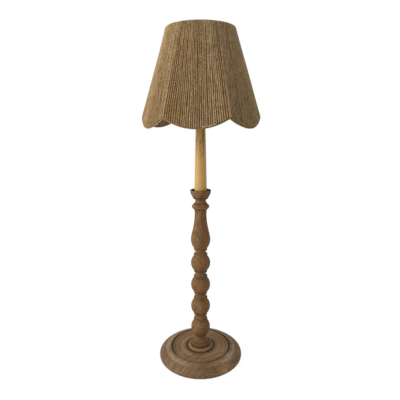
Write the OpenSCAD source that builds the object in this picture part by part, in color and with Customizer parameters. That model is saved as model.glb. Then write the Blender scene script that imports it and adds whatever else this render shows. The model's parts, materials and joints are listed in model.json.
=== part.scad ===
// Candlestick floor lamp: a turned wooden bobbin column on a dished round base, a tall
// tapered candle sleeve, a lampholder with its harp, and a scalloped six-panel shade
// wound with twine on a wire frame. Millimetres, +Z up, origin on the floor at the axis.

/* [Base] */
// Radius of the base at its rim
base_r = 184.2; // [170:1:200]
// Height of the wooden base at the top of its outer band, floor felt left out
base_h = 37.5; // [36:0.5:44]
// Thickness of the felt ring under the base
felt_t = 2; // [1.5:0.5:3]
// Radius of the V groove inside the outer band
groove_r = 126.6; // [118:0.5:132]
// Radius of the raised centre boss
boss_r = 57; // [54:0.5:60]
// Height of the centre boss above the dished field
boss_h = 11; // [9:0.5:13]
// Thickness of the iron ballast plate
ballast_t = 10; // [8:0.5:11]
// Radius of the ballast plate
ballast_r = 139; // [130:1:140]
// Thickness of the bottom cover
cover_t = 2.2; // [1.6:0.1:2.4]
// Bore radius of the cord inlet bush
inlet_bore_r = 3.6; // [3:0.1:4]

/* [Column] */
// Height of the column foot between the boss and the lowest bobbin
foot_h = 40.5; // [38:0.5:44]
// Largest radius of the column foot
foot_r = 41.5; // [40:0.5:44]
// Height of one bobbin, neck included
bobbin_h = 100; // [92:1:110]
// Radius of the bead of a bobbin
bead_r = 42.4; // [40:0.2:46]
// Radius of the neck between bobbins
neck_r = 22.3; // [21:0.1:24]
// Height of the vase turning, collar and neck included
vase_h = 228.5; // [210:0.5:250]
// Radius of the belly of the vase
belly_r = 42.6; // [40:0.2:46]
// Radius of the slim part of the vase
waist_r = 25.7; // [24.5:0.1:27]
// Radius of the sharp collar above the vase
collar_r = 38.4; // [36:0.2:42]
// Height of the drip cup
cup_h = 38.5; // [36:0.5:46]
// Radius of the rim of the drip cup
cup_r = 45.2; // [43:0.2:50]
// Radius of the threaded steel pipe through the column
pipe_r = 5; // [4.5:0.1:5.2]
// Bore radius of the pipe
pipe_bore_r = 3.8; // [3.6:0.1:4]

/* [Candle] */
// Length of the candle sleeve
candle_h = 378.5; // [340:1:400]
// Radius of the candle sleeve at its foot
candle_foot_r = 27.7; // [26:0.1:28.5]
// Radius of the candle sleeve at its top
candle_top_r = 18.2; // [18:0.1:20]

/* [Lampholder] */
// Outer radius of the brass lampholder shell
shell_r = 16.6; // [16.3:0.1:17]
// Height of the lampholder shell
shell_h = 50; // [46:0.5:56]
// Radius of the thread of the lamp cap
lamp_cap_r = 13.15; // [13:0.05:13.2]
// Largest radius of the glass bulb
bulb_r = 30; // [27:0.5:34]
// Length of the glass bulb above its cap
bulb_h = 84; // [78:1:92]
// Radius of the switch knob
knob_r = 7; // [5.5:0.1:8]

/* [Harp] */
// Height of the harp from the saddle to the shade seat
harp_h = 267; // [254:1:280]
// Half width of the harp at its widest
harp_half_w = 58; // [54:0.5:59.5]
// Radius of the harp wire
harp_wire_r = 1.6; // [1.4:0.1:1.8]
// Half distance between the harp legs at the saddle
leg_x = 27; // [26:0.5:30]
// Length of the sliding ferrule on each harp leg
ferrule_h = 18; // [15:0.5:20]
// Travel of a ferrule when it is lifted
ferrule_lift = 15; // [12:0.5:16]

/* [Shade] */
// Radius of the top ring, at the wire's centre
ring_r = 138.4; // [132:0.1:150]
// Radius of the hem at a rib, at the wire's centre
hem_r = 243.2; // [228:0.1:252]
// Radius of the hem in the middle of a scallop
scallop_r = 229.4; // [218:0.1:238]
// Drop from the top ring to the hem at a rib
rib_drop = 349; // [320:0.5:360]
// How far a scallop hangs below the ribs' ends
scallop_drop = 37.8; // [25:0.2:45]
// Depth of the fitter below the top ring
spider_drop = 25; // [18:0.5:32]
// Turn of the front panel away from the front
shade_turn = -4; // [-30:1:30]
// Radius of the wires of the shade frame
frame_wire_r = 1.5; // [1.2:0.1:1.8]
// Thickness of the twine
twine_d = 3.6; // [3:0.1:4]
// Strands wound on each panel
strands = 31; // [25:1:34]
// Radius of the trim cord along the hem
trim_r = 2.3; // [1.8:0.1:2.6]

/* [Hidden] */

$fn = 64;
eps = 0.01;                   // overshoot of a cut past a face
fit = 0.1;                    // clearance of parts that are fitted and stay put
running = 0.05;               // radial clearance of parts that turn or slide
seat = 0.2;                   // gap between faces of parts that move on each other
bobbins = 4;
panels = 6;
panel_angle = 360 / panels;

// Levels of the base, from the floor up
wood_z = felt_t;                                  // underside of the wood
cover_top_z = wood_z + cover_t;
ballast_top_z = cover_top_z + 1 + ballast_t;      // the plate hangs 1 mm clear of the cover
band_z = wood_z + base_h;                         // crest of the outer band
band_w = base_r - groove_r;                       // width of that band
field_z = band_z - 2.5;                           // dished field inside the groove
boss_z = field_z + boss_h;                        // top of the boss
cavity_r = 52;                                    // pocket for the nut and the terminal block
cavity_z = boss_z - 18;                           // roof of that pocket
ballast_in_r = cavity_r + 6;
cover_r = ballast_r + 11;
screw_ring_r = (ballast_r + cover_r) / 2 + 0.5;
ballast_bolt_r = (ballast_in_r + ballast_r) / 2;
inlet_z = wood_z + 8;                             // axis of the cord way
inlet_y = base_r - 6.8;                           // spot face for the bush's flange
inlet_flange_r = 7;
inlet_flange_t = 3;
bush_r = inlet_bore_r + 1.3;
bush_len = 12;

// Nut, washer and pipe
washer_t = 3;
nut_h = 6;
nut_r = pipe_r + 4.8;
pipe_bottom_z = cavity_z - washer_t - nut_h - 2;
lead_r = pipe_bore_r - 0.9;
lead_bend_r = 8;
block = [28, 24, 24];                             // terminal block
block_y = lead_bend_r + 14;

// Levels of the column
foot_z = boss_z;
bobbin_z = foot_z + foot_h;
vase_z = bobbin_z + bobbins * bobbin_h;
cup_z = vase_z + vase_h;
cup_floor = 17;                                   // floor of the bowl above the cup's foot
candle_z = cup_z + cup_floor - 3;                 // the candle stands in a 3 mm socket
candle_top_z = candle_z + candle_h;
bore_r = pipe_r + 0.4;                            // bore of the turned parts
spigot_r = 13;
spigot_h = 8;
bead_of_weld = 1.04;          // a joint in a wire swells to this share of its radius

// Lampholder and harp, from the candle's top
cap_t = 4;
top_nut_h = 5;
saddle_t = 1.8;
saddle_z = candle_top_z + cap_t + top_nut_h;
holder_z = saddle_z + saddle_t;                   // seat of the lampholder
cap_h = 20;
shell_z = holder_z + cap_h - 6;
knob_z = shell_z + 17;
core_z = holder_z + 13;
core_h = 25;
contact_z = core_z + core_h;
contact_t = 1.2;
tip_z = contact_z + contact_t + seat;
lamp_cap_z = tip_z + 3.5;
lamp_cap_h = 22;
glass_z = lamp_cap_z + lamp_cap_h - 4;
seat_z = holder_z + harp_h;                       // shade seat at the harp's top
post_h = 12;
leg_h = ferrule_h + ferrule_lift - 8;             // straight stretch of a harp leg
stud_r = 3.1;
stud_h = 13;
plate_t = 2;                                      // fitter washer
finial_z = seat_z + seat + plate_t + seat;

// Shade
ring_z = seat_z + seat + plate_t / 2 + spider_drop;
half_t = frame_wire_r + fit + twine_d;            // from the wires' centre to the twine's face
groove_d = twine_d / 2;                           // depth between two strands
rib_gap = frame_wire_r + 0.25;                    // half the gap between two panels
loop_end = 0.87;                                  // how far a strand's end bend reaches
hem_gap = 0.5;                                    // between the twine's bends and the trim
trim_drop = half_t * loop_end + hem_gap + trim_r; // from the hem wire to the trim cord

wood = [0.47, 0.35, 0.25];
wax = [0.78, 0.62, 0.38];
brass = [0.72, 0.58, 0.32];
steel = [0.62, 0.62, 0.62];
twine = [0.55, 0.44, 0.32];

// ---------- helpers ----------

// One point of a smooth curve through four neighbours
function blend4(a, b, c, d, t) =
    ((2 * b) + (c - a) * t + (2 * a - 5 * b + 4 * c - d) * t * t
     + (3 * b - a - 3 * c + d) * t * t * t) / 2;

// Smooth curve through the points p, with n steps between neighbours
function curve(p, n = 4) = let (m = len(p) - 1)
    [for (i = [0 : m - 1], j = [0 : n - 1])
         blend4(p[max(i - 1, 0)], p[i], p[i + 1], p[min(i + 2, m)], j / n), p[m]];

// Arc in the plane from angle a to angle b
function arc(c, rx, ry, a, b, n) =
    [for (i = [0 : n]) let (t = a + (b - a) * i / n) c + [rx * cos(t), ry * sin(t)]];

// Point at angle a from the front, radius r and height z
function around(a, r, z) = [r * sin(a), -r * cos(a), z];

module at(a, r) {
    translate([r * sin(a), -r * cos(a), 0]) rotate(a) children();
}

module tube(r, bore, h) {
    difference() {
        cylinder(h = h, r = r);
        translate([0, 0, -eps]) cylinder(h = h + 2 * eps, r = bore);
    }
}

// Solid of revolution from an outline of [radius, height] points
module turned(outline) {
    rotate_extrude($fn = 96) polygon(outline);
}

module screw(head_r, head_h, shank_r, length) {
    cylinder(h = head_h, r = head_r);
    cylinder(h = length, r = shank_r);
}

// Round bar between two points
module bar(a, b, r) {
    v = b - a;
    length = norm(v);
    translate(a) rotate([0, acos(v[2] / length), atan2(v[1], v[0])]) cylinder(h = length, r = r);
}

// ---------- base ----------

module foot_felt() {
    color("dimgray") tube(base_r - 4, cover_r + 2, felt_t);
}

module bottom_cover() {
    color("tan") translate([0, 0, wood_z]) difference() {
        cylinder(h = cover_t, r = cover_r);
        for (i = [0 : 3]) at(45 + 90 * i, screw_ring_r) translate([0, 0, -eps]) {
            cylinder(h = cover_t + 2 * eps, r = 1.6 + fit);
            cylinder(h = 1 + eps, r = 3.2);
        }
    }
}

module cover_screws() {
    color("silver") for (i = [0 : 3])
        at(45 + 90 * i, screw_ring_r) translate([0, 0, wood_z + fit]) screw(3.1, 1 - fit, 1.6, 13);
}

module ballast_plate() {
    color("dimgray") difference() {
        translate([0, 0, ballast_top_z - ballast_t]) tube(ballast_r, ballast_in_r + 0.5, ballast_t);
        translate([-7, 0, 0]) cube([14, base_r, ballast_top_z + 1]);
        for (i = [0 : 3]) at(45 + 90 * i, ballast_bolt_r) {
            cylinder(h = ballast_top_z + 1, r = 2.5 + fit);
            translate([0, 0, ballast_top_z - ballast_t - eps]) cylinder(h = 4, r = 5.2);
        }
    }
}

module ballast_screws() {
    color("silver") for (i = [0 : 3])
        at(45 + 90 * i, ballast_bolt_r)
            translate([0, 0, ballast_top_z - ballast_t + 0.3]) screw(5, 3.6, 2.5, 21);
}

// Outline of the base's face, from the bottom of the rim up and in to the pipe bore
function base_outline() = concat(
    [[cover_r + 0.5, wood_z], [base_r - 1.6, wood_z]],
    curve([[base_r - 0.3, wood_z + 1.6], [base_r, wood_z + 6], [base_r - 1.4, wood_z + 11],
           [base_r - band_w * 0.14, wood_z + base_h * 0.46],
           [base_r - band_w * 0.33, wood_z + base_h * 0.66],
           [base_r - band_w * 0.56, wood_z + base_h * 0.82],
           [base_r - band_w * 0.77, wood_z + base_h * 0.94],
           [groove_r + 5, band_z], [groove_r + 2, band_z - 1.2]], 4),
    [[groove_r, field_z - 2.5]],
    arc([groove_r - 3.6, band_z - 2], 2.6, 2.4, 0, 180, 8),
    [[groove_r - 8, field_z], [groove_r - 11.3, field_z], [groove_r - 11.8, field_z - 0.8],
     [groove_r - 12.3, field_z]],
    curve([[groove_r - 12.6, field_z], [groove_r - 30, field_z - 1.6], [boss_r + 22, field_z - 0.6],
           [boss_r + 11, field_z + 0.6], [boss_r + 5, field_z - 0.2]], 4),
    [[boss_r + 2, field_z - 2], [boss_r, field_z - 2]],
    curve([[boss_r - 0.6, field_z + 1.5], [boss_r - 3, field_z + 5.5], [boss_r - 8, boss_z - 2],
           [boss_r - 13, boss_z]], 3),
    [[bore_r, boss_z], [bore_r, cavity_z], [cavity_r, cavity_z], [cavity_r, cover_top_z],
     [ballast_in_r, cover_top_z], [ballast_in_r, ballast_top_z], [ballast_r + 0.5, ballast_top_z],
     [ballast_r + 0.5, cover_top_z], [cover_r + 0.5, cover_top_z]]);

module base_disc() {
    color(wood) difference() {
        turned(base_outline());
        // way for the cord, from the pocket to the back of the rim
        translate([0, cavity_r - 2, inlet_z]) rotate([-90, 0, 0])
            cylinder(h = base_r, r = bush_r + fit / 2);
        translate([0, inlet_y, inlet_z]) rotate([-90, 0, 0])
            cylinder(h = 20, r = inlet_flange_r + 0.3);
        for (i = [0 : 3]) {
            at(45 + 90 * i, ballast_bolt_r) translate([0, 0, wood_z])
                cylinder(h = ballast_top_z + 11.5, r = 2.5 + fit / 2);
            at(45 + 90 * i, screw_ring_r) translate([0, 0, wood_z])
                cylinder(h = 13.5, r = 1.6 + fit / 2);
        }
        // screws of the terminal block
        for (x = [-1, 1]) translate([x * 9, block_y + block[1] / 2, cavity_z - eps])
            cylinder(h = 8.5, r = 1.5 + fit / 2);
    }
}

module inlet_bush() {
    color("black") translate([0, inlet_y, inlet_z]) rotate([-90, 0, 0]) difference() {
        union() {
            cylinder(h = inlet_flange_t, r = inlet_flange_r);
            translate([0, 0, -bush_len]) cylinder(h = bush_len, r = bush_r);
        }
        translate([0, 0, -bush_len - eps])
            cylinder(h = bush_len + inlet_flange_t + 2 * eps, r = inlet_bore_r);
    }
}

module terminal_block() {
    color("ivory") difference() {
        union() {
            translate([-block[0] / 2, block_y, cavity_z - block[2]]) cube(block);
            for (x = [-1, 1]) translate([x * 9, block_y + block[1] / 2, cavity_z])
                cylinder(h = 8, r = 1.5);
        }
        for (x = [-1, 0, 1]) translate([x * 8, block_y + block[1] + eps, inlet_z])
            rotate([90, 0, 0]) cylinder(h = 9, r = 2.2);
    }
}

// Two-core lead, from the terminal block up the pipe to the lampholder
module inner_lead() {
    lead_z = pipe_bottom_z - 1;
    color("whitesmoke") {
        translate([0, 0, lead_z]) cylinder(h = core_z - fit - lead_z, r = lead_r);
        translate([0, lead_bend_r, lead_z]) rotate([0, 90, 0]) rotate([0, 0, -90])
            rotate_extrude(angle = 90) translate([lead_bend_r, 0]) circle(lead_r);
        translate([0, lead_bend_r, lead_z - lead_bend_r]) rotate([-90, 0, 0])
            cylinder(h = block_y - fit - lead_bend_r, r = lead_r);
    }
}

module lower_washer() {
    color("silver") translate([0, 0, cavity_z - washer_t]) tube(18, pipe_r + fit, washer_t);
}

module hex_nut(h) {
    difference() {
        cylinder(h = h, r = nut_r, $fn = 6);
        translate([0, 0, -eps]) cylinder(h = h + 2 * eps, r = pipe_r + fit / 2);
    }
}

module lower_nut() {
    color("silver") translate([0, 0, cavity_z - washer_t - nut_h]) hex_nut(nut_h);
}

module stem_pipe() {
    color("gray") translate([0, 0, pipe_bottom_z])
        tube(pipe_r, pipe_bore_r, holder_z + 8 - pipe_bottom_z);
}

// ---------- column ----------

// Bore, socket below and spigot above that centre a turned part on its neighbours
module drilled(h, spigot = true, socket = true) {
    difference() {
        union() {
            children();
            if (spigot) translate([0, 0, h - eps]) cylinder(h = spigot_h + eps, r = spigot_r);
        }
        translate([0, 0, -eps]) cylinder(h = h + spigot_h + 1, r = bore_r);
        if (socket) translate([0, 0, -eps]) cylinder(h = spigot_h + 0.3 + eps, r = spigot_r + fit);
    }
}

function column_foot_outline() = concat(
    [[0, 0], [foot_r - 3, 0]],
    curve([[foot_r - 1.5, 1.2], [foot_r, 8], [foot_r - 1.2, 13.5], [foot_r - 3.8, 17]], 4),
    [[foot_r - 5, 17.4]],
    curve([[foot_r - 5.5, 18], [foot_r - 9.6, 23], [neck_r + 5.8, 28.5],
           [neck_r + 4.2, foot_h - 6], [neck_r + 3.6, foot_h]], 4),
    [[0, foot_h]]);

module column_foot() {
    color(wood) translate([0, 0, foot_z]) drilled(foot_h, socket = false)
        turned(column_foot_outline());
}

// Outline of a bobbin: foot fillet, bead, upper fillet and neck, in hundredths of its height
function bobbin_outline() = let (
    k = bobbin_h / 100,
    bead_z = 41.5 * k,                            // centre of the bead
    bead_half_h = 44 * k,                         // half height of the bead's full ellipse
    cut = asin(32.5 / 44)) concat(                // where the fillets cut the bead
    [[0, 0], [neck_r + 5.2, 0]],
    arc([neck_r + 5.2, 3.4 * k], 1.8, 3.4 * k, -90, 90, 6),
    [[neck_r + 4.7, 7.4 * k]],
    arc([0, bead_z], bead_r, bead_half_h, -cut, cut, 22),
    [[neck_r + 6, bead_z + 33.5 * k]],
    curve([[neck_r + 7.2, 76.5 * k], [neck_r + 8, 80.5 * k], [neck_r + 7.6, 83.5 * k]], 3),
    [[neck_r + 4.4, 84.1 * k]],
    curve([[neck_r + 3.6, 84.7 * k], [neck_r + 1.4, 89 * k], [neck_r, 94 * k],
           [neck_r, bobbin_h]], 4),
    [[0, bobbin_h]]);

module bobbin(i) {
    color(wood) translate([0, 0, bobbin_z + i * bobbin_h]) drilled(bobbin_h)
        turned(bobbin_outline());
}

// Outline of the vase: belly low, slim waist, sharp collar and a short neck
function vase_outline() = let (k = vase_h - 228.5) concat(
    [[0, 0], [neck_r + 5.4, 0]],
    arc([neck_r + 5.4, 3.2], 1.7, 3.2, -90, 90, 6),
    [[neck_r + 5.2, 7.6]],
    curve([[belly_r - 14, 8.2], [belly_r - 10.4, 14], [belly_r - 5.2, 23.4],
           [belly_r - 1.2, 36.5], [belly_r, 51], [belly_r - 2.6, 68], [belly_r - 6.6, 86 + k / 3],
           [belly_r - 10.6, 105 + k / 2], [waist_r + 2.4, 127 + k / 2], [waist_r + 0.7, 147 + k],
           [waist_r, 164 + k], [waist_r + 0.5, 174 + k], [waist_r + 2.2, 181 + k],
           [waist_r + 4.6, 183.8 + k], [collar_r - 3.6, 187.8 + k], [collar_r - 0.9, 191.4 + k]], 4),
    curve([[collar_r, 193.6 + k], [collar_r - 0.4, 196 + k], [collar_r - 3.2, 201.2 + k],
           [collar_r - 5.4, 204 + k]], 3),
    [[collar_r - 6.8, 204.4 + k]],
    curve([[neck_r + 8.8, 205.2 + k], [neck_r + 6.6, 208.5 + k], [neck_r + 3, 212.6 + k],
           [neck_r + 1, 218 + k], [neck_r + 1, vase_h]], 4),
    [[0, vase_h]]);

module vase_turning() {
    color(wood) translate([0, 0, vase_z]) drilled(vase_h) turned(vase_outline());
}

function cup_outline() = concat(
    [[0, 0], [cup_r - 15.6, 0]],
    curve([[cup_r - 14.4, 1], [cup_r - 12.6, 3], [cup_r - 12, 5]], 3),
    [[cup_r - 11.8, 5.6]],
    curve([[cup_r - 10.8, 6.8], [cup_r - 8, 12], [cup_r - 4.4, 18.5], [cup_r - 1.6, 26],
           [cup_r - 0.2, cup_h - 3.5], [cup_r - 0.6, cup_h - 0.6], [cup_r - 2, cup_h],
           [cup_r - 3.2, cup_h - 1.2], [cup_r - 4.8, cup_h - 8], [cup_r - 9.5, cup_floor + 4],
           [cup_r - 15, cup_floor]], 4),
    [[0, cup_floor]]);

module drip_cup() {
    color(wood) translate([0, 0, cup_z]) difference() {
        drilled(cup_h, spigot = false) turned(cup_outline());
        translate([0, 0, cup_floor - 3]) cylinder(h = 4, r = candle_foot_r + fit);
    }
}

// ---------- candle ----------

module candle_sleeve() {
    color(wax) translate([0, 0, candle_z]) difference() {
        union() {
            cylinder(h = 3.5, r = candle_foot_r);
            translate([0, 0, 3.5])
                cylinder(h = candle_h - 5.5, r1 = candle_foot_r, r2 = candle_top_r);
            translate([0, 0, candle_h - 2])
                cylinder(h = 2, r1 = candle_top_r, r2 = candle_top_r - 1.2);
        }
        translate([0, 0, -eps]) cylinder(h = candle_h + 2 * eps, r = bore_r);
    }
}

module candle_cap() {
    color(brass) translate([0, 0, candle_top_z]) difference() {
        turned(concat([[0, 0], [candle_top_r - 1, 0]],
                      arc([candle_top_r - 1, 1], 1, 1, -90, 90, 6),
                      curve([[candle_top_r - 2, 2.1], [candle_top_r - 6, 3.4],
                             [nut_r + 1.5, cap_t]], 3),
                      [[0, cap_t]]));
        translate([0, 0, -eps]) cylinder(h = cap_t + 2 * eps, r = pipe_r + fit);
    }
}

module top_nut() {
    color(brass) translate([0, 0, candle_top_z + cap_t]) hex_nut(top_nut_h);
}

// ---------- harp ----------

module harp_saddle() {
    strap_w = 14;
    color(brass) translate([0, 0, saddle_z]) {
        difference() {
            union() {
                translate([-leg_x, -strap_w / 2, 0]) cube([2 * leg_x, strap_w, saddle_t]);
                for (s = [-1, 1]) translate([s * leg_x, 0, 0]) {
                    cylinder(h = saddle_t, r = strap_w / 2);
                    cylinder(h = saddle_t + 1.5, r = harp_wire_r + 1.8);
                    cylinder(h = saddle_t + post_h, r = harp_wire_r);
                }
            }
            translate([0, 0, -eps]) cylinder(h = saddle_t + 2 * eps, r = pipe_r + fit);
        }
    }
}

// The harp's half outline: straight leg, outward bend, straight, wide arc, straight, top arc.
// lean is the angle of its straight stretches to the vertical.
lean = 24;
bend_r = 34;
out_l = 34;
leg_z = post_h + fit;
bend_z = leg_z + leg_h;
out_x = leg_x + bend_r * (1 - cos(lean));
out_z = bend_z + bend_r * sin(lean);
wide_x = out_x + out_l * sin(lean);
wide_z = out_z + out_l * cos(lean);
wide_r = (harp_half_w - wide_x) / (1 - cos(lean));
in_z = wide_z + 2 * wide_r * sin(lean);
harp_top = harp_h - plate_t - harp_wire_r;
in_l = (harp_top - in_z - wide_x * (1 - sin(lean)) / cos(lean))
       / (cos(lean) - tan(lean) * (1 - sin(lean)));
top_x = wide_x - in_l * sin(lean);
top_z = in_z + in_l * cos(lean);
top_r = top_x / cos(lean);

// Wire bend in the XZ plane about the centre c, from angle a to angle b
module wire_bend(c, r, a, b) {
    translate([c[0], 0, c[1]]) rotate([90, 0, 0]) rotate([0, 0, a])
        rotate_extrude(angle = b - a, $fn = 96) translate([r, 0]) circle(harp_wire_r);
}

// Braze joint between two stretches of the harp wire
module wire_joint(x, z) {
    translate([x, 0, z]) sphere(harp_wire_r * bead_of_weld);
}

module harp_half() {
    wire_joint(leg_x, bend_z);
    wire_joint(out_x, out_z);
    wire_joint(wide_x, wide_z);
    wire_joint(wide_x, in_z);
    wire_joint(top_x, top_z);
    translate([leg_x, 0, leg_z]) cylinder(h = leg_h, r = harp_wire_r);
    wire_bend([leg_x + bend_r, bend_z], bend_r, 180 - lean, 180);
    bar([out_x, 0, out_z], [wide_x, 0, wide_z], harp_wire_r);
    wire_bend([harp_half_w - wide_r, (wide_z + in_z) / 2], wide_r, -lean, lean);
    bar([wide_x, 0, in_z], [top_x, 0, top_z], harp_wire_r);
    wire_bend([0, top_z - top_r * sin(lean)], top_r, lean, 90);
}

module harp() {
    color(brass) translate([0, 0, holder_z]) {
        harp_half();
        mirror([1, 0, 0]) harp_half();
        translate([0, 0, harp_top - harp_wire_r]) cylinder(h = plate_t + 2 * harp_wire_r, r = 5);
        translate([0, 0, harp_h - plate_t]) cylinder(h = plate_t, r = 8);
        translate([0, 0, harp_h - plate_t]) cylinder(h = plate_t + stud_h, r = stud_r);
    }
}

module ferrule(side) {
    color(brass) translate([side * leg_x, 0, holder_z + 1.5 + seat])
        tube(harp_wire_r + 1.6, harp_wire_r + running, ferrule_h);
}

// ---------- lampholder ----------

liner_t = 0.5;
shell_t = 0.6;
liner_r = shell_r - shell_t - fit;
core_r = liner_r - liner_t - fit;
knob_shaft_r = 2;

module knob_way(r) {
    translate([0, -4, knob_z]) rotate([90, 0, 0]) cylinder(h = 2 * shell_r, r = r);
}

module socket_cap() {
    rim_r = shell_r + fit + shell_t;
    color(brass) translate([0, 0, holder_z]) difference() {
        turned(concat([[0, 0], [8, 0], [8.4, 4]],
                      curve([[9, 5], [11.5, 7.6], [rim_r - 1.6, 11], [rim_r, 14.5]], 4),
                      [[rim_r, cap_h], [rim_r - shell_t, cap_h], [rim_r - shell_t, 13.4]],
                      curve([[rim_r - shell_t - 0.4, 13], [rim_r - 4, 11.6], [10, 8.4], [7, 7.6]], 3),
                      [[0, 7.6]]));
        translate([0, 0, -eps]) cylinder(h = cap_h, r = pipe_r + fit / 2);
    }
}

module socket_shell() {
    color(brass) difference() {
        translate([0, 0, shell_z]) union() {
            tube(shell_r, shell_r - shell_t, shell_h);
            for (z = [shell_h - 12, shell_h - 7]) translate([0, 0, z])
                tube(shell_r + 0.6, shell_r - shell_t, 2);
        }
        knob_way(knob_shaft_r + 1.2);
    }
}

module socket_liner() {
    color("tan") difference() {
        translate([0, 0, shell_z]) tube(liner_r, liner_r - liner_t, shell_h - 2);
        knob_way(knob_shaft_r + 1.2);
    }
}

module socket_core() {
    color("saddlebrown") difference() {
        union() {
            translate([0, 0, shell_z + fit]) cylinder(h = contact_z - shell_z - fit, r = core_r);
            translate([0, 0, core_z]) cylinder(h = contact_z - core_z, r = core_r - 3);
        }
        knob_way(knob_shaft_r + running);
        for (s = [-1, 1]) translate([s * (core_r - 2.4), 0, core_z + 8])
            cylinder(h = core_h, r = 2.2);
    }
}

module screw_shell() {
    shell_in = lamp_cap_r + running;
    color(brass) translate([0, 0, contact_z]) {
        tube(shell_in + 0.6, shell_in, lamp_cap_h + 2);
        tube(shell_in + 0.6, shell_in - 4, 0.8);
    }
}

module centre_contact() {
    color(brass) translate([0, 0, contact_z]) {
        cylinder(h = contact_t, r = 3.4);
        translate([0, -1.6, 0]) cube([7, 3.2, 0.5]);
    }
}

module switch_knob() {
    knob_y = shell_r + 2.2;
    color("black") translate([0, 0, knob_z]) rotate([90, 0, 0]) {
        translate([0, 0, 4.5]) cylinder(h = knob_y, r = knob_shaft_r);
        translate([0, 0, knob_y]) difference() {
            union() {
                cylinder(h = 2.4, r = knob_r - 2);
                translate([0, 0, 2.4]) cylinder(h = 8, r1 = knob_r, r2 = knob_r - 0.6);
                translate([0, 0, 10.4]) cylinder(h = 1.4, r1 = knob_r - 0.6, r2 = knob_r - 2);
            }
            for (i = [0 : 15]) rotate(360 / 16 * i) translate([knob_r + 0.35, 0, 2])
                cylinder(h = 12, r = 0.8);
        }
    }
}

// ---------- lamp bulb ----------

function glass_outline(t) = let (r = bulb_r - t) concat(
    [[lamp_cap_r - 1 - t, 0]],
    curve([[lamp_cap_r - 1 - t, 6], [lamp_cap_r + 2.2 - t, 18], [r - 7.4, 31], [r - 1.6, 44]], 6),
    arc([0, bulb_h - bulb_r], r, r, 6, 90, 12));

module bulb_glass() {
    color("white", 0.5) translate([0, 0, glass_z]) rotate_extrude($fn = 96)
        polygon(concat(glass_outline(0), [for (i = [len(glass_outline(0)) - 1 : -1 : 0])
                                          glass_outline(0.8)[i]]));
}

module bulb_cap() {
    color(steel) translate([0, 0, lamp_cap_z]) difference() {
        turned(concat([[0, 0], [lamp_cap_r - 3, 0]],
                      [for (i = [0 : 11]) [lamp_cap_r - (i % 2 == 0 ? 0.6 : 0), 1 + 1.6 * i]],
                      [[lamp_cap_r, lamp_cap_h], [0, lamp_cap_h]]));
        translate([0, 0, 1]) cylinder(h = lamp_cap_h, r = lamp_cap_r - 1 + fit);
        translate([0, 0, -1]) cylinder(h = 3, r = 5);
    }
}

module bulb_insulator() {
    color("black") translate([0, 0, tip_z])
        turned([[0, 0], [3, 0], [3.6, 0.8], [lamp_cap_r - 5, 3.4], [0, 3.4]]);
}

// Glass mount with its filament hoop
module bulb_mount() {
    color("lightgoldenrodyellow") translate([0, 0, lamp_cap_z + 1 + fit]) {
        cylinder(h = 10, r = 6);
        cylinder(h = 48, r = 2.4);
        translate([0, 0, 48]) rotate_extrude(angle = 360) translate([9, 0]) circle(0.8);
        for (a = [0, 120, 240]) bar([0, 0, 44], [9 * cos(a), 9 * sin(a), 48], 0.6);
    }
}

// ---------- finial and fitter ----------

module finial() {
    color(brass) translate([0, 0, finial_z]) difference() {
        turned(concat([[0, 0], [6.5, 0], [7, 1], [7, 3]],
                      curve([[5.4, 4], [4, 6.2], [4.8, 8.4]], 4),
                      arc([0, 14.4], 7.6, 7.2, -56, 90, 14)));
        translate([0, 0, -eps]) cylinder(h = seat_z + stud_h + 0.5 - finial_z, r = stud_r + running);
    }
}

function rib_angle(i) = shade_turn + panel_angle * (i + 0.5);

module spider() {
    hub_r = 11;
    arm_z = ring_z - spider_drop;
    arm_bend = ring_r - 24;
    rise = [ring_r - arm_bend, spider_drop];
    stop = 1 - (frame_wire_r + fit) / norm(rise);
    color(brass) {
        translate([0, 0, arm_z - plate_t / 2]) tube(hub_r, stud_r + running, plate_t);
        for (i = [0, 2, 4]) {
            foot = around(rib_angle(i), hub_r - 2, arm_z);
            knee = around(rib_angle(i), arm_bend, arm_z);
            tip = around(rib_angle(i), arm_bend + rise[0] * stop, arm_z + rise[1] * stop);
            difference() {
                bar(foot, knee, frame_wire_r);
                translate([0, 0, arm_z - 3]) cylinder(h = 6, r = stud_r + 2);
            }
            translate(knee) sphere(frame_wire_r * bead_of_weld);
            bar(knee, tip, frame_wire_r);
        }
    }
}

// ---------- shade ----------

module top_ring() {
    color(steel) translate([0, 0, ring_z]) rotate_extrude($fn = 128)
        translate([ring_r, 0]) circle(frame_wire_r);
}

// Place of the hem wire, [radius, height], at t from -1 to 1 across a panel
function hem_at(t) = [scallop_r + (hem_r - scallop_r) * t * t,
                      ring_z - rib_drop - scallop_drop * (1 - pow(abs(t), 2.1))];

// Direction of a strand at t, from the ring down to the hem, and its outward normal
function strand_dir(t) = let (v = hem_at(t) - [ring_r, ring_z]) v / norm(v);
function strand_out(t) = let (d = strand_dir(t)) [-d[1], d[0]];

module rib_wires() {
    color(steel) for (i = [0 : panels - 1]) {
        reach = (frame_wire_r + fit) * strand_dir(1);
        top = [ring_r, ring_z] + reach;
        foot = hem_at(1) - reach;
        bar(around(rib_angle(i), top[0], top[1]), around(rib_angle(i), foot[0], foot[1]),
            frame_wire_r);
    }
}

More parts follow.
